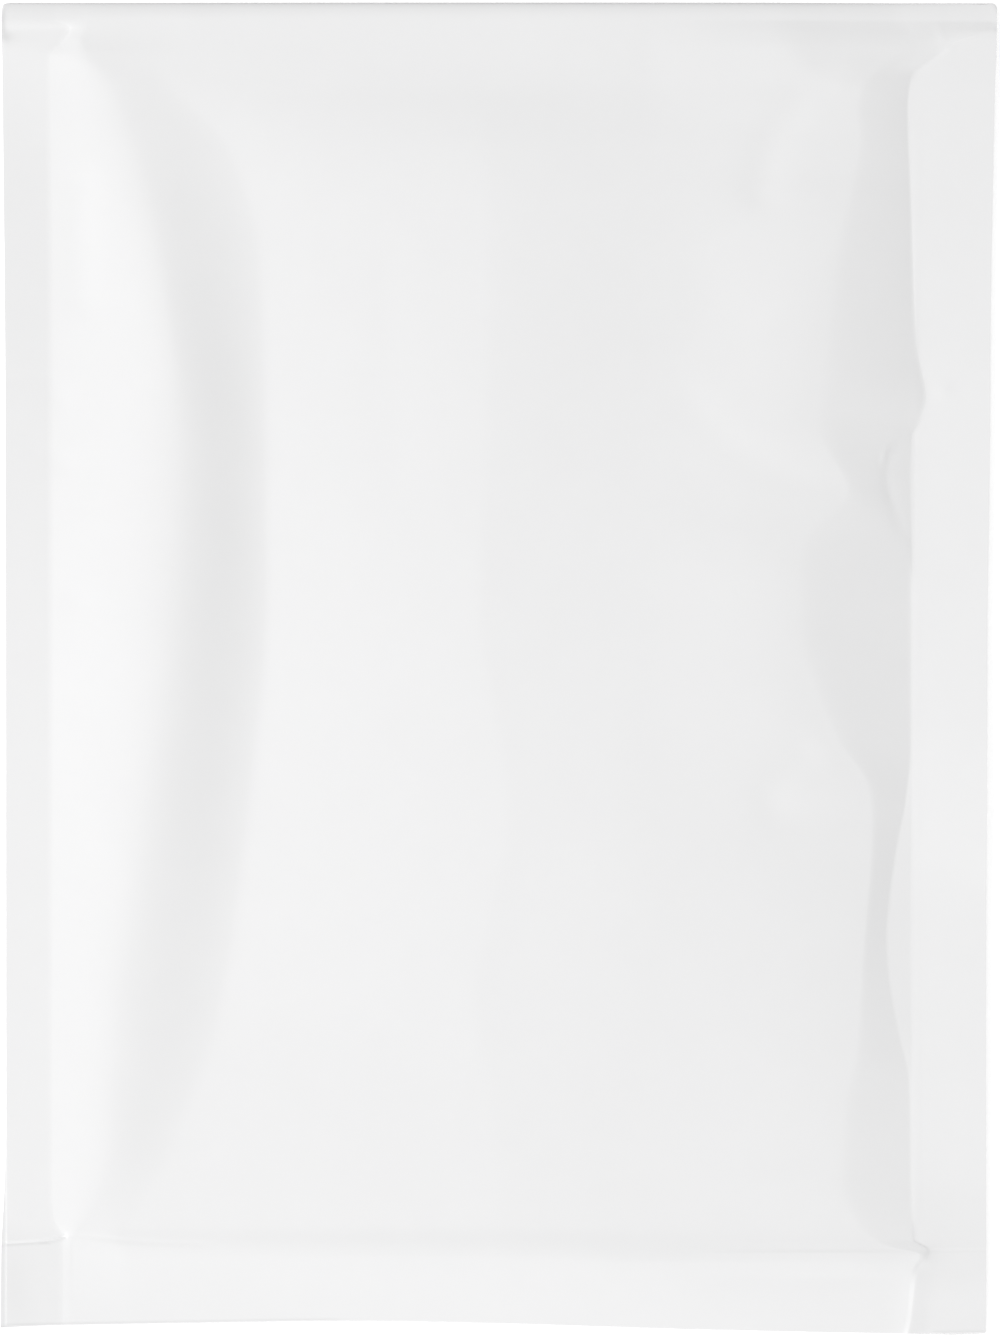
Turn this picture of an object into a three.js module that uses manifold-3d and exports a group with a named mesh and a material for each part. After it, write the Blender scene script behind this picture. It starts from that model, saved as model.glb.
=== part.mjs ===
// A bubble padded envelope, closed, lying on its back with its plain front panel up.
// One sheet of white paper, lined with bubble film, is pressed flat and stuck along both sides and along the
// bottom. At the top it folds over into a closing flap, which is stuck down on the back panel.
// Millimetres: +X to the right, +Y towards the folded top edge, +Z up. The origin lies under the middle.
import * as THREE from "three";
import { mergeVertices } from "three/addons/utils/BufferGeometryUtils.js";
import Module from "manifold-3d";

// Outline of the closed envelope.
const WIDTH = 240; // over the side seams, close to the fold
const LENGTH = 323; // from the folded edge to the lowest corner
const RIGHT_LEAN = 2.1; // the right side comes in by this much at the bottom
const EDGE_FLARE = 0.9; // both sides stand out by this much at the fold
const FLARE_LENGTH = 100; // and have come in at this distance from it
const BOTTOM_SKEW = 2; // the bottom edge is cut higher by this much at its left end
const BOTTOM_BOW = 2; // and by this much more between its ends
const BOTTOM_BOW_SHIFT = 0.72; // less than 1 moves the highest place of that edge to the left
const FOLD_OVERHANG = 0.2; // the ends of the fold stand out past the side seams

// Seams, where the two panels are pressed together.
const LEFT_SEAM = 10.7;
const RIGHT_SEAM = 20;
const BOTTOM_SEAM = 19.8;
const SEAM_THICKNESS = 0.5;
const SEAM_LIFT = 1.1; // underside of the seams above the table
const SEAM_CURVE_UNDER = 24; // the back panel curves up to the seams over this much
const BOTTOM_CORNER_STEP = 2.9; // the strip's left end stands this much inside the left seam
const STRIP_NARROWING = 0.4; // the flanks are narrower beside the bottom strip, by this share
const STRIP_GAPE = 0.3; // the panels of the bottom seam stand apart by this much half way along
const CREASE_DEPTH = 0.15; // of the crease above the bottom seam
const CREASE_WIDTH = 2.6;

// Folded top edge.
const FOLD_END_THICKNESS = 1.75;
const FOLD_NOSE = 4.5; // the front rounds over in this distance
const FOLD_SQUARENESS = 3.2; // 2 is an ellipse, more is squarer
const SEAM_START = 4; // from the nose down to the flat part of the seams
const GROOVE_DEPTH = 0.25; // across the left seam, under the fold
const TUCK_LENGTH = 17.4; // the right seam is tucked in at an angle from here to the fold
const TUCK_POINT = 6; // least distance of that tuck from the folded edge
const FOLD_REST = 9; // the back panel leaves the flat underside of the fold over this distance

// Front panel, from the left seam to the right one: ridge, hollow, crown, shoulder.
// Each line has a height at the fold and at the crease above the bottom seam, and swells between them.
const RIDGE_REACH = 30;
const RIDGE_END_REACH = 8;
const RIDGE_FOLD_HEIGHT = 2.5;
const RIDGE_CREASE_HEIGHT = 1.8;
const RIDGE_RISE = 2.75;
const HOLLOW_REACH = 23;
const HOLLOW_END_REACH = 13;
const HOLLOW_FOLD_HEIGHT = 2.75;
const HOLLOW_CREASE_HEIGHT = 2.2;
const HOLLOW_RISE = 0.6;
const CROWN_OFFSET = -4; // of the crown's line from the middle
const CROWN_FOLD_HEIGHT = 3;
const CROWN_CREASE_HEIGHT = 3.6;
const CROWN_RISE = 2.1;
const SHOULDER_REACH = 26;
const SHOULDER_END_REACH = 15;
const SHOULDER_FOLD_HEIGHT = 2.6;
const SHOULDER_CREASE_HEIGHT = 2.4;
const SHOULDER_RISE = 2.2;
const PANEL_SKEW = 1.23; // more than 1 moves the fullest place towards the fold
const PANEL_FULLNESS = 0.8; // less than 1 carries the swelling further to both ends

// Gathers, where the padding draws the right seam in and pulls the shoulder down.
const GATHERS = [
  { down: 95, reach: -3.5, spread: 8, dip: 0 },
  { down: 114, reach: 5.8, spread: 8.5, dip: 0.8 },
  { down: 225, reach: 6.3, spread: 21, dip: 1.1 },
];

// Closing flap, stuck down on the back.
const FLAP_LENGTH = 52;
const FLAP_THICKNESS = 0.3;
const FLAP_ROOT = 1.4; // the flap leaves the fold this far below its nose
const FLAP_FOLD_INSET = 1.5; // its sides start this far inside the side seams
const FLAP_END_INSET = 9; // and reach its end this far inside them
const FLAP_CORNER = 12;
const FLAP_OVERLAP = 0.1; // the glue holds the flap and the back panel together over this depth
const FLAP_RUNOUT = 34; // the back panel comes down to the table in this distance past the flap

// Facets of the panels, across and along.
const SEAM_FACETS = 2;
const FLANK_FACETS = 6;
const HOLLOW_FACETS = 5;
const CROWN_FACETS = 6;
const NOSE_FACETS = 6;
const CORNER_FACETS = 4;
const TUCK_FACETS = 4;
const PANEL_FACETS = 48;
const STRIP_FACETS = 4;
const FLAP_CORNER_FACETS = 6;
const SAME_POINT = 1e-4; // points closer than this are one

const top = LENGTH / 2;
const creaseDown = LENGTH - BOTTOM_SEAM;
const seamDown = FOLD_NOSE + SEAM_START;
const seamTop = SEAM_LIFT + SEAM_THICKNESS;

const { clamp, lerp, smoothstep } = THREE.MathUtils;
const level = (t) => t;
const smooth = (t) => smoothstep(t, 0, 1);
const riseToLevel = (t) => Math.sin((t * Math.PI) / 2);
const levelToFall = (t) => t * t * t;

// All places along the envelope are distances down from its folded edge.
function bow(down) {
  const share = clamp((creaseDown - down) / (creaseDown - FOLD_NOSE), 0, 1);
  return Math.max(Math.sin(Math.PI * share ** PANEL_SKEW), 0) ** PANEL_FULLNESS;
}

function nearFold(down) {
  return 1 - smoothstep(down, FOLD_NOSE, seamDown);
}

function intoStrip(down) {
  return clamp((down - creaseDown) / BOTTOM_SEAM, 0, 1);
}

function flare(down) {
  return EDGE_FLARE * Math.max(1 - down / FLARE_LENGTH, 0) ** 2 + FOLD_OVERHANG * nearFold(down);
}

function leftEdge(down) {
  return -WIDTH / 2 - flare(down);
}

function rightEdge(down) {
  return WIDTH / 2 - RIGHT_LEAN * (1 - (1 - down / LENGTH) ** 2) + flare(down);
}

function leftFoot(down) {
  const step = BOTTOM_CORNER_STEP * smoothstep(down, creaseDown - CREASE_WIDTH, creaseDown + CREASE_WIDTH);
  return -WIDTH / 2 + LEFT_SEAM + step;
}

// The right seam's inner line: straight, and run out to the corner by the tuck.
function rightSeamLine(down) {
  const tuck = clamp((TUCK_LENGTH - down) / (TUCK_LENGTH - TUCK_POINT), 0, 1);
  return lerp(WIDTH / 2 - RIGHT_SEAM, rightEdge(down) - FOLD_OVERHANG, tuck);
}

// What the gathers add up to here, of their reach or of their dip.
function gathered(down, measure) {
  const share = (gather) => Math.exp(-(((down - gather.down) / gather.spread) ** 2));
  return GATHERS.reduce((sum, gather) => sum + gather[measure] * share(gather), 0);
}

// The foot of the right flank, which the gathers draw in from that line.
function rightFoot(down) {
  return rightSeamLine(down) - gathered(down, "reach");
}

// Height of the flat seams: level, with a shallow groove across the left one under the fold.
function seamHeight(down, grooveDepth) {
  const groove = Math.sin(Math.PI * clamp((down - FOLD_NOSE) / SEAM_START, 0, 1));
  return lerp(seamTop, FOLD_END_THICKNESS, nearFold(down)) - grooveDepth * groove;
}

// Height of one of the front panel's lines: its swelling from fold to crease, then the bottom strip.
function lineHeight(down, foldHeight, creaseHeight, rise) {
  if (down > creaseDown) {
    return lerp(creaseHeight, seamTop + STRIP_GAPE, intoStrip(down)) - creaseDrop(down);
  }
  const share = (down - FOLD_NOSE) / (creaseDown - FOLD_NOSE);
  return lerp(foldHeight, creaseHeight, share) + rise * bow(down) - creaseDrop(down);
}

function creaseDrop(down) {
  return CREASE_DEPTH * Math.max(1 - Math.abs(down - creaseDown) / CREASE_WIDTH, 0);
}

// The lines that a cross-section of the front passes through, with how its height eases from line to line.
function frontLines(down) {
  const swell = bow(down);
  const left = leftFoot(down);
  const right = rightFoot(down);
  const leftSeam = seamHeight(down, GROOVE_DEPTH);
  const rightSeam = seamHeight(down, 0);
  const narrowing = lerp(1, STRIP_NARROWING, smoothstep(down, creaseDown, creaseDown + CREASE_WIDTH));
  const ridge = left + lerp(RIDGE_END_REACH, RIDGE_REACH, swell) * narrowing;
  const hollow = ridge + lerp(HOLLOW_END_REACH, HOLLOW_REACH, swell);
  const shoulder = rightSeamLine(down) - lerp(SHOULDER_END_REACH, SHOULDER_REACH, swell) * narrowing;
  const ridgeHeight = lineHeight(down, RIDGE_FOLD_HEIGHT, RIDGE_CREASE_HEIGHT, RIDGE_RISE);
  const hollowHeight = lineHeight(down, HOLLOW_FOLD_HEIGHT, HOLLOW_CREASE_HEIGHT, HOLLOW_RISE);
  const crownHeight = lineHeight(down, CROWN_FOLD_HEIGHT, CROWN_CREASE_HEIGHT, CROWN_RISE);
  const fullHeight = lineHeight(down, SHOULDER_FOLD_HEIGHT, SHOULDER_CREASE_HEIGHT, SHOULDER_RISE);
  const shoulderHeight = fullHeight - gathered(down, "dip");
  return [
    { x: leftEdge(down), z: leftSeam },
    { x: left, z: leftSeam, facets: SEAM_FACETS, ease: level },
    { x: ridge, z: ridgeHeight, facets: FLANK_FACETS, ease: riseToLevel },
    { x: hollow, z: hollowHeight, facets: HOLLOW_FACETS, ease: smooth },
    { x: CROWN_OFFSET, z: crownHeight, facets: CROWN_FACETS, ease: smooth },
    { x: shoulder, z: shoulderHeight, facets: CROWN_FACETS, ease: levelToFall },
    { x: right, z: rightSeam, facets: FLANK_FACETS, ease: level },
    { x: rightEdge(down), z: rightSeam, facets: SEAM_FACETS, ease: level },
  ];
}

// Height of the back: flat on the table, curving up to the seams, and lying on the flap near the fold.
function backHeight(x, down) {
  const inSide = Math.min(x - leftFoot(down), rightFoot(down) - x);
  const inBottom = creaseDown - down;
  const sideLift = 1 - smoothstep(inSide, 0, SEAM_CURVE_UNDER);
  const bottomLift = 1 - smoothstep(inBottom, -BOTTOM_SEAM, SEAM_CURVE_UNDER - BOTTOM_SEAM);
  const flapLift = 1 - smoothstep(down, FLAP_LENGTH, FLAP_LENGTH + FLAP_RUNOUT);
  const clearOfFold = smoothstep(down, seamDown, seamDown + FOLD_REST);
  const seamLift = SEAM_LIFT * Math.max(sideLift, bottomLift);
  return clearOfFold * Math.max(seamLift, FLAP_THICKNESS * flapLift);
}

// A point at its distance down, on an envelope whose bottom strip is cut askew along its lower edge.
function place(x, down, z) {
  const across = clamp(x / WIDTH + 0.5, 0, 1);
  const cut = BOTTOM_SKEW * (1 - across) + BOTTOM_BOW * Math.sin(Math.PI * across ** BOTTOM_BOW_SHIFT);
  return new THREE.Vector3(x, top - down + cut * intoStrip(down), z);
}

// One cross-section: the front from left to right, and the back under each of its points.
function section(down) {
  const lines = frontLines(down);
  const points = [{ x: lines[0].x, z: lines[0].z }];
  for (let i = 1; i < lines.length; i += 1) {
    const { facets, ease } = lines[i];
    for (let j = 1; j <= facets; j += 1) {
      const t = j / facets;
      const x = lerp(lines[i - 1].x, lines[i].x, t);
      points.push({ x, z: lerp(lines[i - 1].z, lines[i].z, ease(t)) });
    }
  }
  return {
    front: points.map(({ x, z }) => place(x, down, z)),
    back: points.map(({ x }) => place(x, down, backHeight(x, down))),
  };
}

// A section inside the fold's nose, where front and back close on each other.
function noseSection(turn) {
  const power = 2 / FOLD_SQUARENESS;
  const down = FOLD_NOSE * (1 - Math.sin(turn) ** power);
  const open = Math.max(Math.cos(turn), 0) ** power;
  const { front, back } = section(FOLD_NOSE);
  const closing = (point, other) => place(point.x, down, lerp((point.z + other.z) / 2, point.z, open));
  return {
    front: front.map((point, i) => closing(point, back[i])),
    back: back.map((point, i) => closing(point, front[i])),
  };
}

function steps(from, to, count) {
  return Array.from({ length: count }, (_, i) => lerp(from, to, (i + 1) / count));
}

function sections() {
  const turns = Array.from({ length: NOSE_FACETS }, (_, i) => (Math.PI / 2) * (1 - i / NOSE_FACETS));
  const downs = [
    FOLD_NOSE,
    ...steps(FOLD_NOSE, seamDown, CORNER_FACETS),
    ...steps(seamDown, TUCK_LENGTH, TUCK_FACETS),
    ...steps(TUCK_LENGTH, creaseDown - CREASE_WIDTH, PANEL_FACETS),
    creaseDown,
    creaseDown + CREASE_WIDTH,
    ...steps(creaseDown + CREASE_WIDTH, LENGTH, STRIP_FACETS),
  ];
  return [...turns.map(noseSection), ...downs.map(section)];
}

// A closed skin over the sections: front, back, the two sides and the bottom edge.
function loft(rows) {
  const corners = [];
  const triangle = (a, b, c) => {
    const shortest = Math.min(a.distanceTo(b), b.distanceTo(c), c.distanceTo(a));
    if (shortest > SAME_POINT) {
      corners.push(...a.toArray(), ...b.toArray(), ...c.toArray());
    }
  };
  const quad = (a, b, c, d) => {
    triangle(a, b, c);
    triangle(a, c, d);
  };
  const last = rows[0].front.length - 1;
  for (let r = 1; r < rows.length; r += 1) {
    const upper = rows[r - 1];
    const lower = rows[r];
    for (let i = 1; i <= last; i += 1) {
      quad(lower.front[i - 1], lower.front[i], upper.front[i], upper.front[i - 1]);
      quad(lower.back[i], lower.back[i - 1], upper.back[i - 1], upper.back[i]);
    }
    quad(lower.back[0], lower.front[0], upper.front[0], upper.back[0]);
    quad(lower.front[last], lower.back[last], upper.back[last], upper.front[last]);
  }
  const edge = rows[rows.length - 1];
  for (let i = 1; i <= last; i += 1) {
    quad(edge.back[i - 1], edge.back[i], edge.front[i], edge.front[i - 1]);
  }
  const geometry = new THREE.BufferGeometry();
  geometry.setAttribute("position", new THREE.Float32BufferAttribute(corners, 3));
  return geometry;
}

// The flap: it leaves the fold at about full width and tapers to an end with round corners.
function flapPlate() {
  const foldHalf = WIDTH / 2 - FLAP_FOLD_INSET;
  const endHalf = WIDTH / 2 - FLAP_END_INSET;
  const start = top - FOLD_NOSE - FLAP_ROOT;
  const end = top - FLAP_LENGTH;
  const shape = new THREE.Shape();
  shape.moveTo(-foldHalf, start);
  shape.lineTo(-endHalf, end + FLAP_CORNER);
  shape.absarc(-endHalf + FLAP_CORNER, end + FLAP_CORNER, FLAP_CORNER, Math.PI, 1.5 * Math.PI);
  shape.absarc(endHalf - FLAP_CORNER, end + FLAP_CORNER, FLAP_CORNER, 1.5 * Math.PI, 2 * Math.PI);
  shape.lineTo(foldHalf, start);
  shape.closePath();
  const depth = FLAP_THICKNESS + FLAP_OVERLAP;
  return new THREE.ExtrudeGeometry(shape, { depth, bevelEnabled: false, curveSegments: FLAP_CORNER_FACETS });
}

const wasm = await Module();
wasm.setup();

function toSolid(geometry) {
  const bare = geometry.clone();
  bare.deleteAttribute("normal");
  bare.deleteAttribute("uv");
  const merged = mergeVertices(bare, SAME_POINT);
  const vertProperties = new Float32Array(merged.getAttribute("position").array);
  const triVerts = new Uint32Array(merged.getIndex().array);
  return new wasm.Manifold(new wasm.Mesh({ numProp: 3, vertProperties, triVerts }));
}

function toGeometry(solid) {
  const mesh = solid.getMesh();
  const geometry = new THREE.BufferGeometry();
  geometry.setAttribute("position", new THREE.BufferAttribute(mesh.vertProperties, 3));
  geometry.setIndex(new THREE.BufferAttribute(mesh.triVerts, 1));
  geometry.computeVertexNormals();
  return geometry;
}

const whitePaper = new THREE.MeshStandardMaterial({ color: 0xeeeeef, roughness: 0.7, metalness: 0 });

const envelope = new THREE.Mesh(toGeometry(toSolid(loft(sections())).add(toSolid(flapPlate()))), whitePaper);
envelope.name = "padded_envelope";

const part = new THREE.Group();
part.add(envelope);

export default part;
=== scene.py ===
import bpy
import numpy as np
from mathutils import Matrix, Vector, noise


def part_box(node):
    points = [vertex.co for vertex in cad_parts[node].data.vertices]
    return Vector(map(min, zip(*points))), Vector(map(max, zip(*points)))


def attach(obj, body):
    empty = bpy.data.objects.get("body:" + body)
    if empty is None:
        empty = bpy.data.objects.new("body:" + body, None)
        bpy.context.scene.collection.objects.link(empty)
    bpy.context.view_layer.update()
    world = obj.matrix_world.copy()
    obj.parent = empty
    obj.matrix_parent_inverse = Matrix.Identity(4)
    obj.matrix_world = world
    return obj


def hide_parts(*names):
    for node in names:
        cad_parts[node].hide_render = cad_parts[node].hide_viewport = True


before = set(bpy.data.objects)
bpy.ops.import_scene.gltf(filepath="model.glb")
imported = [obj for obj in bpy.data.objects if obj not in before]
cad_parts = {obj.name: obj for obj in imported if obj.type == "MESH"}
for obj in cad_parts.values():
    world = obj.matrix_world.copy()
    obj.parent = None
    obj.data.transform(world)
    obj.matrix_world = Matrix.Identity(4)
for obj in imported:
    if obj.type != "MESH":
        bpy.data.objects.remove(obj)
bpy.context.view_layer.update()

# Front sheet.
# One sheet of white paper: the front panel, the folded top edge, and the flap stuck to the back.
# Bubble film pushes the panel up between its flat, glued seams, and the right flank is gathered.
MM = 0.001
PLY = 0.2
LENGTH = 323
NOSE = 4.5  # the panel starts here, and the fold rounds over above it
STRIP_TOP = 304
FOLD_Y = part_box("padded_envelope")[1][1] / MM

# Places on the sheets are millimetres, across from the middle and down from the folded edge.
# The bottom edge was cut askew: (across, down).
LENGTH_ACROSS = [
    (-120, 321.1), (-75, 320.35), (-40, 319.85), (-24, 319.9), (0, 320.5), (48, 322.05), (97, 323.15),
    (120, 323.0),
]

# The cut sides, the feet of the swollen panel, and where the right seam starts to lie flat: (down, across).
LEFT_EDGE = [(NOSE, -121.1), (20, -120.9), (57, -120.4), (96, -120.1), (250, -119.95), (LENGTH, -119.8)]
LEFT_FOOT = [
    (NOSE, -108), (5.5, -105.2), (6.4, -104.6), (9, -106.2), (11, -108.1), (13, -109.6), (72, -109.3),
    (290, -109.1), (296, -108.2), (299.4, -106.3), (LENGTH, -106.3),
]
RIGHT_FOOT = [
    (NOSE, 119.2), (6.4, 118.2), (10.1, 109.1), (13.7, 104.2), (17.4, 99.9), (25.8, 98.9), (47.7, 99.6),
    (72, 100.4), (84, 101.1), (96.2, 103.3), (101.1, 101.6), (104.7, 99.1), (108.4, 95.7), (112, 93.9),
    (116, 93.7), (122, 95.1), (128, 97.3), (135, 99.2), (141, 99.6), (181, 99.6), (193.3, 98.4),
    (205.5, 96), (217.6, 94.3), (226.1, 93.6), (232.2, 93.8), (241.9, 95), (251.6, 97), (261.3, 99.2),
    (300.1, 99.9), (302.8, 103.6), (305.4, 102.4), (307.4, 101), (319.6, 99.6), (LENGTH, 98.9),
]
RIGHT_SEAM_LINE = [
    (NOSE, 99.9), (300, 99.9), (302.8, 103.9), (305.4, 102.7), (307.4, 101.4), (319.6, 100), (LENGTH, 99.4),
]
RIGHT_EDGE = [
    (NOSE, 120.6), (12, 120.4), (18, 120.15), (38, 119.7), (77, 119.05), (110, 118.8), (155, 118.2),
    (252, 117.85), (LENGTH, 118.0),
]
FOOT_ROOM = 0.6  # the least distance from the right foot to the flat seam

# The level of each seam, and how far its cut edge and the panel's foot stand above it: (down, height).
LEFT_SEAM_HEIGHT = [
    (NOSE, 2.1), (5.3, 2.05), (6.6, 1.91), (7.0, 1.9), (9.8, 2.03), (11, 2.03), (20, 1.83), (40, 1.73),
    (STRIP_TOP, 1.6), (LENGTH, 1.42),
]
LEFT_EDGE_RISE = [
    (NOSE, 0), (9.8, -0.05), (14, -0.25), (20, -0.2), (45, 0.3), (75, 0.35), (100, 0.2), (125, 0.15),
    (150, -0.05), (193, -0.12), (296, 0), (303, 0.35), (312, 0.5), (LENGTH, 0.55),
]
LEFT_FOOT_RISE = [(NOSE, 0), (5.5, 0.05), (7, 0.08), (10, -0.08), (14, -0.05), (22, 0), (LENGTH, 0)]
RIGHT_SEAM_HEIGHT = [
    (NOSE, 1.05), (6, 1.32), (7.2, 1.52), (9, 1.6), (285, 1.6), (STRIP_TOP, 1.95), (309, 1.93),
    (319.6, 1.14), (LENGTH, 0.9),
]
RIGHT_FOOT_RISE = [
    (NOSE, 0), (6.4, 0.03), (10.1, 0.06), (14, 0.06), (18, 0.03), (22, 0), (101, 0), (106, 0.35),
    (110, 0.75), (115, 0.9), (121, 0.72), (128, 0.4), (136, 0.08), (142, 0), (190, 0), (210, 0.22),
    (227, 0.38), (245, 0.25), (262, 0), (292, 0), (300, 0.08), (303, 0.08), (306, 0.03), (LENGTH, 0),
]
RIGHT_EDGE_RISE = [
    (NOSE, 0), (20, 0.15), (60, 0.25), (80, 0.4), (100, 0.6), (145, 0.6), (170, 0.8), (185, 1.1),
    (205, 1.1), (216, 0.7), (228, 0.5), (270, 0.4), (STRIP_TOP, -0.35), (309, -0.4), (LENGTH, -0.45),
]

# The lines that carry the swollen panel, from left to right: (down, across, height).
RIDGE = [
    (NOSE, -100, 2.3), (7, -101.5, 2.35), (9, -102, 2.52), (11, -101, 2.74), (13.7, -99, 2.94),
    (18.6, -94.5, 3.15), (23.7, -92, 3.28), (35.6, -88, 3.72), (60, -82.6, 4.36), (96.5, -78.5, 4.72),
    (121, -78.4, 4.65), (145, -79.7, 4.65), (193.5, -84.6, 3.95), (242, -91.4, 3.0), (278.5, -94.2, 2.65),
    (290, -97.5, 2.35), (296.5, -101.5, 2.0), (299.4, -103.5, 1.85), (301, -104, 1.75), (303.2, -104, 1.72),
    (LENGTH, -104, 1.48),
]
HOLLOW = [
    (NOSE, -76, 2.7), (9, -76, 2.78), (11, -78, 2.82), (13.7, -82, 2.88), (23.7, -76, 3.0),
    (35.6, -66, 3.05), (60, -58.5, 2.87), (96.5, -56.8, 2.78), (145, -56.4, 2.55), (193.5, -60.6, 2.13),
    (242, -67.6, 1.82), (278.5, -80.2, 2.22), (290, -86, 2.18), (297, -91, 2.13), (301.8, -92, 2.36),
    (303, -92, 2.34), (306, -92, 2.2), (LENGTH, -92, 1.47),
]
CROWN = [
    (NOSE, -4, 3.0), (13.7, -4, 3.05), (20, -4, 3.25), (28, -4, 3.9), (36, -3, 4.45), (48, -3, 4.8),
    (75, -3, 5.05), (100, -3, 5.15), (145, -5, 5.25), (185, 1, 5.1), (200, 2, 4.95), (215, -1, 4.68),
    (240, -6, 4.2), (270, -2, 3.88), (290, 0, 3.6), (297, 0, 3.47), (302, 0, 3.7), (303.4, 0, 3.68),
    (306, 0, 3.45), (LENGTH, 0, 1.4),
]
MIDDLE = [
    (NOSE, 36, 2.95), (13.7, 36, 3.05), (20, 36, 3.2), (28, 36, 3.6), (36, 36, 3.95), (48, 42, 4.08),
    (60, 46, 4.06), (96, 40, 4.52), (132, 34, 5.0), (169, 34, 5.02), (193, 35, 4.95), (217, 36, 4.55),
    (240, 36, 4.18), (266, 36, 3.78), (290, 36, 3.4), (297, 36, 3.32), (303.8, 36, 3.58), (305, 36, 3.57),
    (306.5, 36, 3.42), (LENGTH, 36, 1.05),
]
KNEE = [
    (NOSE, 67, 2.7), (8, 69, 3.15), (11, 70, 3.4), (13.7, 72, 3.46), (18, 77, 3.56), (21, 81, 3.6),
    (26, 80, 3.6), (LENGTH, 55, 3.5),
]
SHOULDER = [
    (NOSE, 97.5, 1.52), (6.4, 98.5, 1.74), (8, 99.5, 1.94), (10.1, 98.5, 2.2), (13.7, 94.5, 2.56),
    (17.4, 90, 3.02), (21, 86.9, 3.32), (25.8, 86, 3.3), (33, 86.7, 3.2), (40, 85.7, 3.28),
    (47.7, 84, 3.66), (59.8, 81, 4.1), (84, 78, 4.45), (103, 76.1, 4.6), (119, 83.6, 3.95),
    (130.5, 72.5, 4.62), (140, 71, 4.86), (150, 71.2, 4.82), (159.3, 72.8, 4.7), (178.8, 80.6, 3.92),
    (190.9, 88.8, 3.16), (200.6, 89.8, 2.88), (232.2, 87.5, 2.95), (254, 86, 3.1), (266, 83.1, 3.2),
    (285.6, 82, 3.08), (296.5, 86, 2.72), (300, 90, 2.58), (301.6, 93, 2.52), (302.4, 96, 2.44),
    (303, 99.5, 2.32), (303.6, 101.5, 2.24), (305.4, 101, 2.2), (307.4, 99.8, 2.08), (319.6, 98.5, 1.04),
    (LENGTH, 97.8, 0.72),
]

# How the panel curves from line to line: (down, amount).
RIDGE_SHARPNESS = [(NOSE, 4), (45, 4), (62, 7), (80, 8), (105, 5), (130, 4), (LENGTH, 4)]
RIDGE_EASING = [(NOSE, 0), (20, 0.1), (40, 0.3), (90, 0.3), (140, 0), (LENGTH, 0)]
HOLLOW_SKEW = [(NOSE, 1), (25, 1), (40, 0.85), (80, 0.85), (110, 1), (LENGTH, 1)]
SHOULDER_SOFTNESS = [
    (NOSE, 0.8), (14, 0.5), (22, 0.3), (55, 0.25), (75, 0.4), (101, 0.4), (110, 0.35), (124, 0.35),
    (135, 0.4), (158, 0.45), (172, 0.6), (186, 0.55), (205, 0.35), (254, 0.4), (290, 0.3), (299, 0.5),
    (STRIP_TOP, 0.6), (308, 0.3), (LENGTH, 0.3),
]
SHOULDER_STEEPEST = [(NOSE, -0.1), (285, -0.1), (300, -0.045), (303, -0.045), (311, 0), (LENGTH, 0)]
FLANK_STEEPENING = [
    (NOSE, 0), (14, 0), (22, 0.15), (90, 0.15), (104, 0.1), (134, 0.08), (150, 0), (LENGTH, 0),
]
CROWN_SKEW = 0.57
CROWN_LEVELLING = 0.7
SHOULDER_ROUNDING = 0.075
ROUNDING_REACH = 0.1
KNEE_RADIUS = 2
KNEE_FADES = (20, 26)  # from here, and gone by here
FOLD_TIGHTENS = (6, 14)  # above here the sheet is drawn tight across, and by here it no longer is
STRIP_TIGHTENS = (297, 303)  # and so is the hollow from here on, fully by here


def hermite(t, start, end, start_slope, end_slope):
    """A cubic from start to end over t from 0 to 1, with these slopes at its ends."""
    back = 1 - t
    ends = (1 + 2 * t) * back**2 * start + (3 - 2 * t) * t**2 * end
    return ends + t * back**2 * start_slope - t**2 * back * end_slope


def curve_through(stations, down):
    """A smooth curve through listed (down, value) stations, which never overshoots them."""
    at, value = np.array(stations, float).T
    step = np.diff(at)
    grade = np.diff(value) / step
    before, after = grade[:-1], grade[1:]
    turning = before * after <= 0
    slope = np.concatenate([grade[:1], np.zeros(len(grade) - 1), grade[-1:]])
    slope[1:-1] = np.where(turning, 0, 2 * before * after / np.where(turning, 1, before + after))
    down = np.clip(down, at[0], at[-1])
    i = np.clip(np.searchsorted(at, down, side="right") - 1, 0, len(step) - 1)
    t = (down - at[i]) / step[i]
    return hermite(t, value[i], value[i + 1], slope[i] * step[i], slope[i + 1] * step[i])


def smooth(t):
    """A step from 0 to 1 that is level at both ends."""
    t = np.clip(t, 0, 1)
    return t * t * (3 - 2 * t)


def rising(value, start, end):
    """0 up to start and 1 from end on, with a smooth step between."""
    return smooth((value - start) / (end - start))


def falling(value, start, end):
    """1 up to start and 0 from end on, with a smooth step between."""
    return 1 - rising(value, start, end)


def steps_down(start, stretches):
    """Places from start on, each stretch (end, step) cut into equal steps of about that length."""
    places = [np.array([start])]
    for end, step in stretches:
        count = max(int(round((end - start) / step)), 1)
        places.append(np.linspace(start, end, count + 1)[1:])
        start = end
    return np.concatenate(places)


ROW_STEPS = [
    (12, 0.4), (20, 0.8), (296, 1.25), (299, 0.6), (STRIP_TOP, 0.25), (309, 0.6), (321, 1.0), (322.2, 0.4),
    (LENGTH, 0.16),
]
rows_down = steps_down(NOSE, ROW_STEPS)
if len(rows_down) % 2 == 0:  # the inner face takes every other row, so their count has to be odd
    rows_down = np.insert(rows_down, -1, rows_down[-2:].mean())
down = rows_down[:, None]


def line(stations):
    """Across and height of a line that runs down the panel, at each row."""
    table = np.array(stations, float)
    return curve_through(table[:, [0, 1]], down), curve_through(table[:, [0, 2]], down)


def slope_between(left, right):
    """The straight slope from one line to another, at each row."""
    return (right[1] - left[1]) / (right[0] - left[0])


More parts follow.
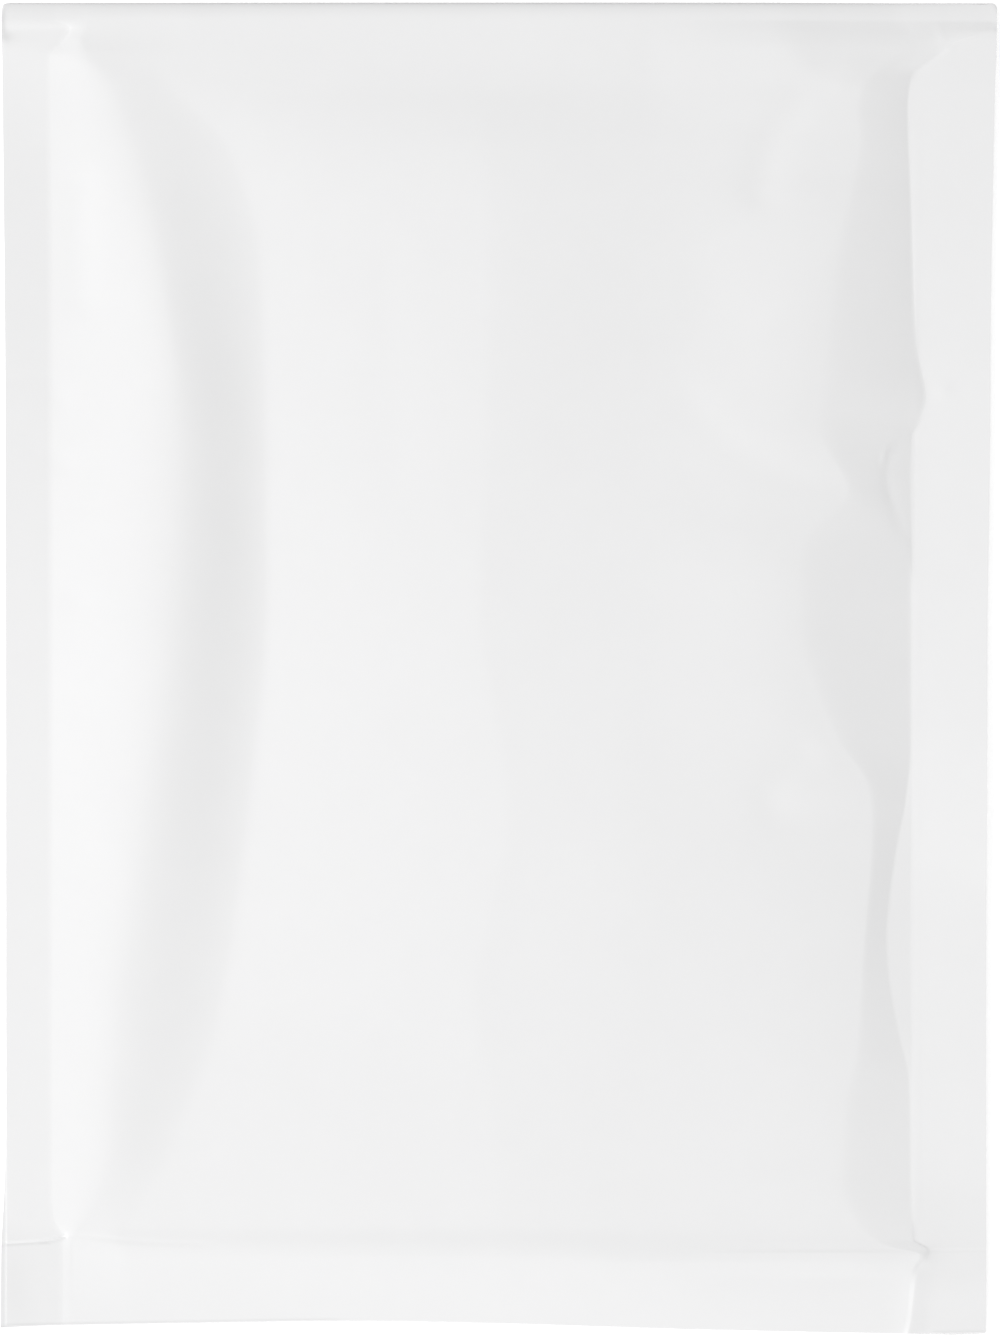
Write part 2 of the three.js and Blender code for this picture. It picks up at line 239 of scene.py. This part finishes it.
left_seam = curve_through(LEFT_SEAM_HEIGHT, down)
right_seam = curve_through(RIGHT_SEAM_HEIGHT, down)
right_foot_x = curve_through(RIGHT_FOOT, down)

left_edge = (curve_through(LEFT_EDGE, down), left_seam + curve_through(LEFT_EDGE_RISE, down))
left_foot = (curve_through(LEFT_FOOT, down), left_seam + curve_through(LEFT_FOOT_RISE, down))
ridge = line(RIDGE)
hollow = line(HOLLOW)
crown = line(CROWN)
middle = line(MIDDLE)
knee = line(KNEE)
shoulder = line(SHOULDER)
right_foot = (right_foot_x, right_seam + curve_through(RIGHT_FOOT_RISE, down))
seam_start = (np.maximum(curve_through(RIGHT_SEAM_LINE, down), right_foot_x + FOOT_ROOM), right_seam)
right_edge = (curve_through(RIGHT_EDGE, down), right_seam + curve_through(RIGHT_EDGE_RISE, down))

middle_slope = 0.5 * (slope_between(crown, middle) + slope_between(middle, shoulder))
softened_slope = curve_through(SHOULDER_SOFTNESS, down) * slope_between(shoulder, right_foot)
shoulder_slope = np.clip(softened_slope, curve_through(SHOULDER_STEEPEST, down), 0)
sharpness = curve_through(RIDGE_SHARPNESS, down)
easing = curve_through(RIDGE_EASING, down)
skew = curve_through(HOLLOW_SKEW, down)
steepening = curve_through(FLANK_STEEPENING, down)
drawn_tight = falling(down, *FOLD_TIGHTENS)


def straight_share(t):
    return t


def ridge_share(t):
    """Up the outer side of the ridge, which levels off at its top: the sharper, the later."""
    levelling = (1 + 1 / sharpness) * (t - t ** (sharpness + 1) / (sharpness + 1))
    plain = levelling - easing * t * (1 - t) ** 3
    return plain + drawn_tight * (t - plain)


def hollow_share(t):
    """From the ridge down into the hollow."""
    straight = drawn_tight + rising(down, *STRIP_TIGHTENS)
    return smooth(t**skew) + straight * (t - smooth(t))


def crown_share(t):
    """From the hollow up to the crown, most of the way early on."""
    return CROWN_LEVELLING * smooth(t**CROWN_SKEW) + (1 - CROWN_LEVELLING) * t**2


def flank_share(t):
    """Down the flank: rounded below the shoulder, then straight, or steeper toward the foot."""
    rounded = (t - SHOULDER_ROUNDING * (1 - np.exp(-t / ROUNDING_REACH))) / (1 - SHOULDER_ROUNDING)
    return (1 - steepening) * rounded + steepening * t**3


def kneed(t, start, end, run):
    """The height up to the shoulder, which near the fold bends down along the knee."""
    plain = hermite(t, start, end, middle_slope * run, shoulder_slope * run)
    past = middle[0] + t * run - knee[0]
    rise, fall = slope_between(middle, knee), slope_between(knee, shoulder)
    bent = knee[1] + rise * past + (fall - rise) * (past + np.sqrt(past**2 + KNEE_RADIUS**2)) / 2
    return plain + falling(down, *KNEE_FADES) * (bent - plain)


def eased(share):
    """The height between two lines, eased from one to the other."""
    return lambda t, start, end, run: start + (end - start) * share(t)


def sloped(start_slope, end_slope):
    """The height between two lines, with the slope that it has at each."""
    return lambda t, start, end, run: hermite(t, start, end, start_slope * run, end_slope * run)


def between(left, right, cells, height, bunch=1):
    """The columns from one line to the next: across and height. A bunch over 1 crowds them at the first."""
    t = np.linspace(0, 1, cells, endpoint=False) ** bunch
    (x0, z0), (x1, z1) = left, right
    return x0 + (x1 - x0) * t, height(t, z0, z1, x1 - x0)


# the back sheet and then the inner faces take every other column, so the cells add up to a multiple of 4
spans = [
    between(left_edge, left_foot, cells=16, height=eased(straight_share), bunch=1.6),
    between(left_foot, ridge, cells=30, height=eased(ridge_share)),
    between(ridge, hollow, cells=22, height=eased(hollow_share)),
    between(hollow, crown, cells=36, height=eased(crown_share)),
    between(crown, middle, cells=28, height=sloped(0, middle_slope)),
    between(middle, shoulder, cells=24, height=kneed),
    between(shoulder, right_foot, cells=26, height=eased(flank_share)),
    between(right_foot, seam_start, cells=8, height=eased(straight_share)),
    between(seam_start, right_edge, cells=18, height=eased(straight_share)),
    right_edge,
]
front_x = np.concatenate([x for x, _ in spans], axis=1)
front_z = np.concatenate([z for _, z in spans], axis=1)
front_d = np.broadcast_to(down, front_x.shape)

# between the ridge and the fold the sheet bends without a crease
SOFT_LEFT = (-103, -95)
SOFT_RIGHT = (-60, -40)
SOFT_BOTTOM = (14, 24)
SOFT_RATE = 0.5
SOFT_ROUNDS = 60


def soften(height, share, rounds):
    """Each height drawn toward its neighbours' mean, by its share, over and over."""
    height = height.copy()
    for _ in range(rounds):
        inner = height[1:-1, 1:-1]
        mean = (height[:-2, 1:-1] + height[2:, 1:-1] + height[1:-1, :-2] + height[1:-1, 2:]) / 4
        height[1:-1, 1:-1] = inner + share[1:-1, 1:-1] * (mean - inner)
    return height


soft_corner = rising(front_x, *SOFT_LEFT) * falling(front_x, *SOFT_RIGHT) * falling(front_d, *SOFT_BOTTOM)
front_z = soften(front_z, SOFT_RATE * soft_corner, SOFT_ROUNDS)

# Dents are (across, down), (half width, half height), depth, and creases are path, half width, depth.
# What has a depth below 0 stands up. Ripples are wave length, swing.
DENTS = [
    # along the left foot
    ((-106.9, 96.2), (3.0, 2.5), 0.07),
    ((-105.7, 112.0), (3.0, 2.5), 0.07),
    ((-103.3, 144.8), (4.0, 4.0), 0.07),
    # in the right seam, at the two ends of the strip, and at the left end of the fold
    ((107.5, 94.3), (2.0, 1.8), -0.09),
    ((102.5, 304.5), (1.4, 1.2), -0.12),
    ((-121.0, 315.0), (4.5, 9.0), -0.2),
    ((-121.3, 8.8), (1.8, 1.5), -0.35),
]
CREASES = [
    # on the panel: below its upper right corner, toward the first gather, and left of the crown
    ([(78.0, 20.0), (74.5, 22.0), (69.8, 27.3), (66.5, 32.5), (64.5, 38.0), (63.0, 46.0)], 4.5, 0.24),
    ([(46.0, 97.7), (58.1, 109.8), (70.3, 116.4), (82.4, 120.0)], 4.0, 0.07),
    ([(-27.5, 62.0), (-25.0, 118.0)], 6.0, 0.06),
    # across the left seam
    ([(-119.5, 91.5), (-108.7, 91.0)], 1.5, 0.05),
    ([(-121.0, 301.3), (-110.1, 300.7), (-105.7, 299.4)], 0.3, 0.18),
    ([(-110.5, 300.8), (-108.0, 300.1), (-105.6, 299.5)], 0.35, 0.2),
    # above the strip, and along its bottom edge
    ([(-105.7, 299.4), (-100.0, 299.4), (-92.0, 300.2), (-85.0, 300.8), (-72.0, 301.1)], 0.7, 0.05),
    ([(103.8, 302.8), (120.0, 302.8)], 0.35, 0.04),
    ([(-122.0, 323.0), (-40.0, 323.0)], 0.4, -0.12),
    ([(105.0, 323.0), (120.0, 323.0)], 0.4, -0.12),
    # where the right seam starts in the strip
    ([(102.5, 305.0), (101.0, 307.4), (99.6, 319.6), (98.8, 323.5)], 3.0, -0.14),
    ([(101.3, 308.0), (99.9, 319.6), (99.3, 323.5)], 0.6, -0.02),
    # the left end of the fold, the outer side of the ridge, and the right end of the strip
    ([(-121.1, 4.5), (-121.1, 6.8)], 0.6, -0.2),
    ([(-104.9, 6.5), (-105.3, 8.0), (-107.0, 10.0)], 0.6, 0.05),
    ([(-102.0, 45.0), (-101.5, 72.0)], 4.0, 0.12),
    ([(103.8, 316.0), (103.8, 324.0)], 0.6, 0.03),
    # the second gather, and the foot of the first
    ([(73.5, 183.5), (68.0, 187.5), (65.2, 191.5), (65.4, 195.0)], 3.8, 0.16),
    ([(99.1, 104.7), (95.7, 108.4), (93.9, 112.0), (93.7, 116.0), (95.1, 122.0), (97.3, 128.0)], 1.7, 0.06),
    ([(93.4, 107.9), (92.8, 111.5)], 0.5, -0.09),
    # the tuck at the right end of the fold
    ([(106.5, 5.5), (107.5, 9.0)], 1.0, -0.04),
    ([(119.5, 6.8), (114.4, 8.4), (110.6, 9.9), (108.6, 11.2)], 0.8, -0.08),
    ([(106.2, 12.5), (104.2, 13.9), (103.0, 15.4), (101.0, 17.0)], 0.8, 0.05),
    # along the right seam
    ([(100.9, 30.0), (100.9, 296.0)], 0.6, -0.03),
]
RIPPLES = [(38, 0.05), (15, 0.012)]


def distance_to(path, across, down):
    """Distance from each point to a path of straight stretches."""
    nearest = np.full(across.shape, np.inf)
    for (x0, d0), (x1, d1) in zip(path, path[1:]):
        run_x, run_d = x1 - x0, d1 - d0
        share = ((across - x0) * run_x + (down - d0) * run_d) / (run_x**2 + run_d**2)
        share = np.clip(share, 0, 1)
        gap = np.hypot(across - x0 - share * run_x, down - d0 - share * run_d)
        nearest = np.minimum(nearest, gap)
    return nearest


def ripple(across, down):
    """The slight waviness of the paper: a few even waves of noise."""
    height = np.zeros(across.shape)
    for length, swing in RIPPLES:
        places = np.stack([across / length, down / length, np.full(across.shape, length)], axis=-1)
        waves = [noise.noise(Vector(p)) for p in places.reshape(-1, 3).tolist()]
        height += swing * np.array(waves).reshape(across.shape)
    return height


def relief(across, down):
    """What handling has left in the sheet: dents, creases and waves."""
    height = ripple(across, down)
    for (x, d), (wide, tall), depth in DENTS:
        height -= depth * np.exp(-(((across - x) / wide) ** 2) - ((down - d) / tall) ** 2)
    for path, width, depth in CREASES:
        height -= depth * np.exp(-((distance_to(path, across, down) / width) ** 2))
    return height


front_z = front_z + relief(front_x, front_d)

# the flap, from its end up to the fold
FLAP_LENGTH = 52
FLAP_INSET = 9
FLAP_CORNER = 12
FLAP_CORNER_ROWS = 13
FLAP_SIDE_ROWS = 27
FLAP_STEP_IN = 1.2  # its sides come in by this much right below the fold
FLAP_STEP_LENGTH = 3
FLAP_SIDE_LIFT = 0.5
FLAP_LIFT_REACH = 30
fold_x = front_x[0]
fold_left, fold_right = fold_x[0], fold_x[-1]
flap_side = FLAP_LENGTH - FLAP_CORNER
corner_turn = np.linspace(0, np.pi / 2, FLAP_CORNER_ROWS)
corner_down = FLAP_LENGTH - FLAP_CORNER * (1 - np.sin(corner_turn))
flap_down = np.concatenate([np.linspace(NOSE, flap_side, FLAP_SIDE_ROWS + 2)[1:-1], corner_down])
flap_share = (flap_down - NOSE) / (FLAP_LENGTH - NOSE)
into_corner = np.clip(flap_down - flap_side, 0, FLAP_CORNER)
flap_inset = FLAP_STEP_IN * rising(flap_down, NOSE, NOSE + FLAP_STEP_LENGTH)
flap_inset += (FLAP_INSET - FLAP_STEP_IN) * flap_share
flap_inset += FLAP_CORNER - np.sqrt(FLAP_CORNER**2 - into_corner**2)
share_across = (fold_x - fold_left) / (fold_right - fold_left)
flap_left = fold_left + flap_inset[:, None]
flap_right = fold_right - flap_inset[:, None]
flap_x = flap_left + (flap_right - flap_left) * share_across
flap_d = np.broadcast_to(flap_down[:, None], flap_x.shape)


def flap_height(across):
    """The flap lies on the table, and its sides lift a little."""
    inside = np.minimum(across - fold_left, fold_right - across)
    return FLAP_SIDE_LIFT * falling(inside, 0, FLAP_LIFT_REACH)


flap_z = flap_height(flap_x)

# the nose of the fold, round from the flap to the front
FOLD_SQUARENESS = [(-121, 1.75), (-80, 1.95), (-30, 2.4), (60, 2.4), (95, 2.1), (121, 1.8)]
FOLD_CORNER = 1.3
NOSE_ROWS = 24
turn = np.linspace(np.pi, 0, NOSE_ROWS + 1)[:, None]
power = 2 / curve_through(FOLD_SQUARENESS, fold_x)
end_gap = np.minimum(fold_x - fold_left, fold_right - fold_x)
into_end = np.clip(FOLD_CORNER - end_gap, 0, FOLD_CORNER)
nose_tip = FOLD_CORNER - np.sqrt(FOLD_CORNER**2 - into_end**2)
nose_d = NOSE - (NOSE - nose_tip) * np.sin(turn) ** power
fold_bottom = flap_height(fold_x)
fold_middle = (front_z[0] + fold_bottom) / 2
nose_z = fold_middle + (front_z[0] - fold_middle) * np.sign(np.cos(turn)) * np.abs(np.cos(turn)) ** power
nose_x = np.broadcast_to(fold_x, nose_z.shape)


def place(across, down, height, length_across):
    """Points in metres. The bottom edge is askew, so the strip above it is longer in some places."""
    strip = (curve_through(length_across, across) - STRIP_TOP) / (LENGTH - STRIP_TOP)
    y = FOLD_Y - np.minimum(down, STRIP_TOP) - strip * np.maximum(down - STRIP_TOP, 0)
    return np.stack(np.broadcast_arrays(across, y, height), axis=-1) * MM


def closed_sheet(name, outer, thickness):
    """A sheet with a fine outer face, a plainer inner one and a cut edge all round, as one closed mesh."""
    along_rows = np.gradient(outer, axis=0)
    along_columns = np.gradient(outer, axis=1)
    normal = np.cross(along_rows, along_columns)
    normal /= np.linalg.norm(normal, axis=-1, keepdims=True)
    inner = (outer - thickness[..., None] * normal)[::2, ::2]
    count = outer.shape[0] * outer.shape[1]
    o = np.arange(count).reshape(outer.shape[:2])
    i = count + np.arange(inner.shape[0] * inner.shape[1]).reshape(inner.shape[:2])

    def cells(grid):
        corners = [grid[:-1, :-1], grid[1:, :-1], grid[1:, 1:], grid[:-1, 1:]]
        return np.stack(corners, axis=-1).reshape(-1, 4)

    def border(grid):
        return np.concatenate([grid[:-1, 0], grid[-1, :-1], grid[:0:-1, -1], grid[0, :0:-1]])

    ring, inner_ring = border(o), border(i)
    first, half, last = ring[::2], ring[1::2], np.roll(ring[::2], -1)
    below, below_last = inner_ring, np.roll(inner_ring, -1)
    rim = np.concatenate([
        np.stack([half, first, below], axis=-1),
        np.stack([half, below, below_last], axis=-1),
        np.stack([last, half, below_last], axis=-1),
    ])
    faces = cells(o).tolist() + cells(i)[:, ::-1].tolist() + rim.tolist()
    points = np.concatenate([outer.reshape(-1, 3), inner.reshape(-1, 3)])
    mesh = bpy.data.meshes.new(name)
    mesh.from_pydata(points.tolist(), [], faces)

    # the rim's triangles are the last faces, and their edges are the sharp ones
    edge_of_corner = np.empty(len(mesh.loops), dtype=np.int32)
    mesh.loops.foreach_get("edge_index", edge_of_corner)
    sharp = np.zeros(len(mesh.edges), dtype=bool)
    sharp[edge_of_corner[-rim.size:]] = True
    mesh.edges.foreach_set("use_edge_sharp", sharp)
    mesh.polygons.foreach_set("use_smooth", np.ones(len(faces), dtype=bool))
    mesh.update()
    sheet = bpy.data.objects.new(name, mesh)
    bpy.context.scene.collection.objects.link(sheet)
    return sheet


PAPER_WHITES = [(0.863, 0.863, 0.866, 1), (0.87, 0.87, 0.873, 1)]
PAPER_ROUGHNESS = [(0.5, 0.5, 0.5, 1), (0.64, 0.64, 0.64, 1)]
RAMP_ENDS = (0.3, 0.7)
PAPER_GLOSS = 0.22
CLOUD_SCALE = 110
FLECK_SCALE = 420
FIBRE_SCALE = 1500
FIBRE_STRENGTH = 0.5
FIBRE_HEIGHT = 0.02 * MM


def white_paper():
    """Bleached wrapping paper: not quite even white, softly glossy, with fine fibres in its surface."""
    material = bpy.data.materials.new("white_paper")
    material.use_nodes = True
    nodes, links = material.node_tree.nodes, material.node_tree.links
    shader = nodes["Principled BSDF"]
    shader.inputs["Specular IOR Level"].default_value = PAPER_GLOSS
    where = nodes.new("ShaderNodeTexCoord").outputs["Object"]

    def speckle(scale, detail, roughness=0.55):
        texture = nodes.new("ShaderNodeTexNoise")
        texture.inputs["Scale"].default_value = scale
        texture.inputs["Detail"].default_value = detail
        texture.inputs["Roughness"].default_value = roughness
        links.new(where, texture.inputs["Vector"])
        return texture.outputs["Fac"]

    def ramp(factor, colours, socket):
        stops = nodes.new("ShaderNodeValToRGB")
        for stop, position, colour in zip(stops.color_ramp.elements, RAMP_ENDS, colours):
            stop.position = position
            stop.color = colour
        links.new(factor, stops.inputs["Fac"])
        links.new(stops.outputs["Color"], socket)

    ramp(speckle(CLOUD_SCALE, detail=5), PAPER_WHITES, shader.inputs["Base Color"])
    ramp(speckle(FLECK_SCALE, detail=3), PAPER_ROUGHNESS, shader.inputs["Roughness"])

    bump = nodes.new("ShaderNodeBump")
    bump.inputs["Strength"].default_value = FIBRE_STRENGTH
    bump.inputs["Distance"].default_value = FIBRE_HEIGHT
    links.new(speckle(FIBRE_SCALE, detail=4, roughness=0.65), bump.inputs["Height"])
    links.new(bump.outputs["Normal"], shader.inputs["Normal"])
    return material


THIN_EDGE = 2.5  # along the right edge the sheet is pressed thin over this width
EDGE_THINNING = 0.85
paper = white_paper()
front_points = place(front_x, front_d, front_z, LENGTH_ACROSS)
nose_points = place(nose_x, nose_d, nose_z, LENGTH_ACROSS)
flap_points = place(flap_x, flap_d, flap_z, LENGTH_ACROSS)
front_grid = np.concatenate([flap_points[::-1], nose_points[:-1], front_points])
pressed_thin = falling(front_grid[:, -1:, 0] - front_grid[..., 0], 0, THIN_EDGE * MM)
front_ply = PLY * (1 - EDGE_THINNING * pressed_thin)
front_sheet = closed_sheet("front_sheet", front_grid, front_ply * MM)
front_sheet.data.materials.append(paper)
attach(front_sheet, "root")
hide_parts("padded_envelope")

# Back sheet.
# The plain panel that lies on the table, of the same paper. Its sides and its bottom are glued to the front
# sheet in flat seams and show a little past its left and bottom edges. The flap is glued over its top edge.
SEAM_GAP = 0.03
FLAP_CLEARANCE = 0.02
RUNOUT_BEFORE = 2  # the sheet comes down to the table from this far above the flap's end
RUNOUT_AFTER = 12  # to this far below it
LIFT = 1.4
SEAM_LEVEL = 1.6
LEFT_CURVE = 34
RIGHT_CURVE = 48
BOTTOM_CURVE = 30
LEFT_CURL = 0.1
CURL_START = 0.88  # as a share of the way across the left seam
LEFT_SHOWING = [(NOSE, -0.2), (40, 0.1), (270, 0.2), (285, 0.5), (STRIP_TOP, 1.4), (LENGTH, 1.6)]
RIGHT_SHOWING = [(NOSE, -0.2), (12, -0.02), (LENGTH, -0.02)]
BACK_LENGTH_ACROSS = [
    (-121, 321.6), (-110, 321.25), (-75, 320.65), (-35, 320.15), (0, 320.75), (48, 322.3), (97, 323.35),
    (112, 323.65), (118, 323.3),
]

back_x = front_x[:, ::2]
back_d = front_d[:, ::2]
seam_share_left = np.clip((back_x - left_foot[0]) / (left_edge[0] - left_foot[0]), 0, 1)
seam_share_right = np.clip((back_x - seam_start[0]) / (right_edge[0] - seam_start[0]), 0, 1)
left_lift = falling(back_x - left_edge[0], 0, LEFT_CURVE)
right_lift = falling(right_edge[0] - back_x, 0, RIGHT_CURVE)
bottom_lift = falling(LENGTH - back_d, 0, BOTTOM_CURVE)
flap_runout = falling(back_d, FLAP_LENGTH - RUNOUT_BEFORE, FLAP_LENGTH + RUNOUT_AFTER)
over_flap = (PLY + FLAP_CLEARANCE) * flap_runout
rest = over_flap + (LIFT - over_flap) * np.maximum(np.maximum(left_lift, right_lift), bottom_lift)
rest += seam_share_left * (left_edge[1] - SEAM_LEVEL)
rest += seam_share_right * (right_edge[1] - SEAM_LEVEL)
pressed = front_z[:, ::2] - front_ply[-len(rows_down):, ::2] - PLY - SEAM_GAP
back_z = np.minimum(pressed, rest)
back_z += LEFT_CURL * rising(seam_share_left, CURL_START, 1) * curve_through(LEFT_SHOWING, down)
back_x = back_x - seam_share_left * curve_through(LEFT_SHOWING, down)
back_x = back_x + seam_share_right * curve_through(RIGHT_SHOWING, down)
back_grid = place(back_x, back_d, back_z, BACK_LENGTH_ACROSS)[::-1]
back_sheet = closed_sheet("back_sheet", back_grid, np.full(back_grid.shape[:2], PLY * MM))
back_sheet.data.materials.append(paper)
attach(back_sheet, "root")
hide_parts("padded_envelope")

# Table.
# A plain white surface, wide enough to reach past every view.
TABLE_HALF = 3.0
TABLE_Z = -0.0001
TABLE_WHITE = (0.9, 0.9, 0.9, 1)
TABLE_ROUGHNESS = 0.9
TABLE_GLOW = 0.68


def seen_as_background(nodes, links):
    """1 for the rays that show the background: from the camera, off gloss or through glass."""
    rays = nodes.new("ShaderNodeLightPath")
    found = rays.outputs["Is Camera Ray"]
    for kind in ("Is Glossy Ray", "Is Transmission Ray"):
        either = nodes.new("ShaderNodeMath")
        either.operation = "MAXIMUM"
        links.new(found, either.inputs[0])
        links.new(rays.outputs[kind], either.inputs[1])
        found = either.outputs[0]
    return found


white = bpy.data.materials.new("white_table")
white.use_nodes = True
nodes, links = white.node_tree.nodes, white.node_tree.links
shader = nodes["Principled BSDF"]
shader.inputs["Base Color"].default_value = TABLE_WHITE
shader.inputs["Roughness"].default_value = TABLE_ROUGHNESS
shader.inputs["Emission Color"].default_value = (1, 1, 1, 1)
glow = nodes.new("ShaderNodeMath")
glow.operation = "MULTIPLY"
glow.inputs[1].default_value = TABLE_GLOW
links.new(seen_as_background(nodes, links), glow.inputs[0])
links.new(glow.outputs[0], shader.inputs["Emission Strength"])

table_corners = [(TABLE_HALF * x, TABLE_HALF * y, TABLE_Z) for x, y in [(-1, -1), (1, -1), (1, 1), (-1, 1)]]
table_mesh = bpy.data.meshes.new("table")
table_mesh.from_pydata(table_corners, [], [(0, 1, 2, 3)])
table_mesh.materials.append(white)
table = bpy.data.objects.new("table", table_mesh)
bpy.context.scene.collection.objects.link(table)

# Light.
# An even white room, and one large soft lamp from the lower left that draws the relief of the panel.
ROOM_LEVEL = 0.3752
LAMP_DISTANCE = 8.0
LAMP_SIZE = 2.6
LAMP_POWER = 577
LAMP_FROM = Vector((-0.6626, -0.3094, 0.682))
world = bpy.data.worlds.new("room")
bpy.context.scene.world = world
world.use_nodes = True
nodes, links = world.node_tree.nodes, world.node_tree.links
background = nodes["Background"]
background.inputs["Color"].default_value = (1, 1, 1, 1)
strength = nodes.new("ShaderNodeMapRange")
strength.inputs["To Min"].default_value = ROOM_LEVEL
strength.inputs["To Max"].default_value = 1.0
links.new(seen_as_background(nodes, links), strength.inputs["Value"])
links.new(strength.outputs["Result"], background.inputs["Strength"])

lamp_data = bpy.data.lights.new("soft_lamp", "AREA")
lamp_data.shape = "DISK"
lamp_data.size = LAMP_SIZE
lamp_data.energy = LAMP_POWER
lamp = bpy.data.objects.new("soft_lamp", lamp_data)
lamp.location = LAMP_FROM * LAMP_DISTANCE
lamp.rotation_euler = LAMP_FROM.to_track_quat("Z", "Y").to_euler()
bpy.context.scene.collection.objects.link(lamp)

# Camera.
# It looks straight down on the envelope, which fills the upright frame almost from edge to edge.
FRAME_HEIGHT = 324.3 * MM
FRAME_LEVEL = 1.6 * MM  # the frame is that high at this level, about that of the seams
FRAME_ASIDE = -0.12 * MM
LENS = 85
SENSOR = 36
camera_data = bpy.data.cameras.new("camera")
camera_data.lens = LENS
camera_data.sensor_width = SENSOR
camera = bpy.data.objects.new("camera", camera_data)
camera.location = (FRAME_ASIDE, 0, FRAME_HEIGHT * LENS / SENSOR + FRAME_LEVEL)
bpy.context.scene.collection.objects.link(camera)
bpy.context.scene.camera = camera
bpy.context.scene.view_settings.view_transform = "Standard"
